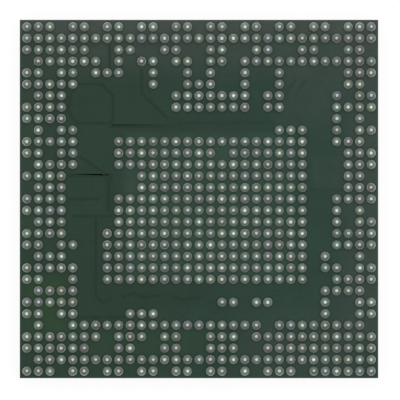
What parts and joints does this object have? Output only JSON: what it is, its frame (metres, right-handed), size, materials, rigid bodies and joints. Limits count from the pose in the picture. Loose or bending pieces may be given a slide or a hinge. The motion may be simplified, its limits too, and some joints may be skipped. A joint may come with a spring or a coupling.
{
  "type": "bga chip",
  "caption": "Square flip-chip ball grid array package, lying on its die with the solder balls of its grid facing up.",
  "frame": {"origin": "centre of the die's back, which is the middle of the bottom of the part's box", "axes": "+Z points to the balls, +X runs along the ball rows from column 1 to column 31, and +Y from row AL to row A; ball A1 is at low x and high y"},
  "size_m": [0.025, 0.025, 0.0024],
  "materials": {
    "solder_balls": "reflowed tin-silver solder, satin, with small marks from ball to ball",
    "solder": "reflowed tin-silver solder, satin",
    "ball_side_mask": "dark green solder mask, semi-gloss, with the copper's gaps showing through as faint darker lines",
    "die_side_mask": "dark green solder mask, semi-gloss",
    "copper": "plated copper, satin",
    "plated_copper": "gold-plated copper, satin",
    "laminate": "sawn glass-epoxy laminate, matte, with fine glass bundles",
    "buildup": "build-up dielectric, matte",
    "plug_resin": "filled resin, matte",
    "silicon": "ground silicon, dark grey, semi-gloss",
    "underfill": "cured dark epoxy, gloss",
    "capacitor_ceramic": "fired ceramic, tan brown, matte",
    "tin": "matte tin plate"
  },
  "bodies": {
    "root": {"ball_row_a": "solder_balls", "ball_row_b": "solder_balls", "ball_row_c": "solder_balls", "ball_row_d": "solder_balls", "ball_row_e": "solder_balls", "ball_row_f": "solder_balls", "ball_row_g": "solder_balls", "ball_row_h": "solder_balls", "ball_row_j": "solder_balls", "ball_row_k": "solder_balls", "ball_row_l": "solder_balls", "ball_row_m": "solder_balls", "ball_row_n": "solder_balls", "ball_row_p": "solder_balls", "ball_row_r": "solder_balls", "ball_row_t": "solder_balls", "ball_row_u": "solder_balls", "ball_row_v": "solder_balls", "ball_row_w": "solder_balls", "ball_row_y": "solder_balls", "ball_row_aa": "solder_balls", "ball_row_ab": "solder_balls", "ball_row_ac": "solder_balls", "ball_row_ad": "solder_balls", "ball_row_ae": "solder_balls", "ball_row_af": "solder_balls", "ball_row_ag": "solder_balls", "ball_row_ah": "solder_balls", "ball_row_aj": "solder_balls", "ball_row_ak": "solder_balls", "ball_row_al": "solder_balls", "ball_side_mask": "ball_side_mask", "ball_lands": "copper", "ball_side_copper": "copper", "ball_side_microvias": "copper", "ball_side_buildup": "buildup", "ball_side_plane": "copper", "core": "laminate", "via_barrels": "copper", "via_plugs": "plug_resin", "die_side_plane": "copper", "die_side_buildup": "buildup", "die_side_microvias": "copper", "die_side_copper": "copper", "bump_pads": "copper", "capacitor_pads": "copper", "corner_mark": "plated_copper", "die_side_mask": "die_side_mask", "bumps": "solder", "die": "silicon", "underfill": "underfill", "capacitor_bodies": "capacitor_ceramic", "capacitor_ends": "tin", "capacitor_solder": "solder"}
  },
  "joints": []
}
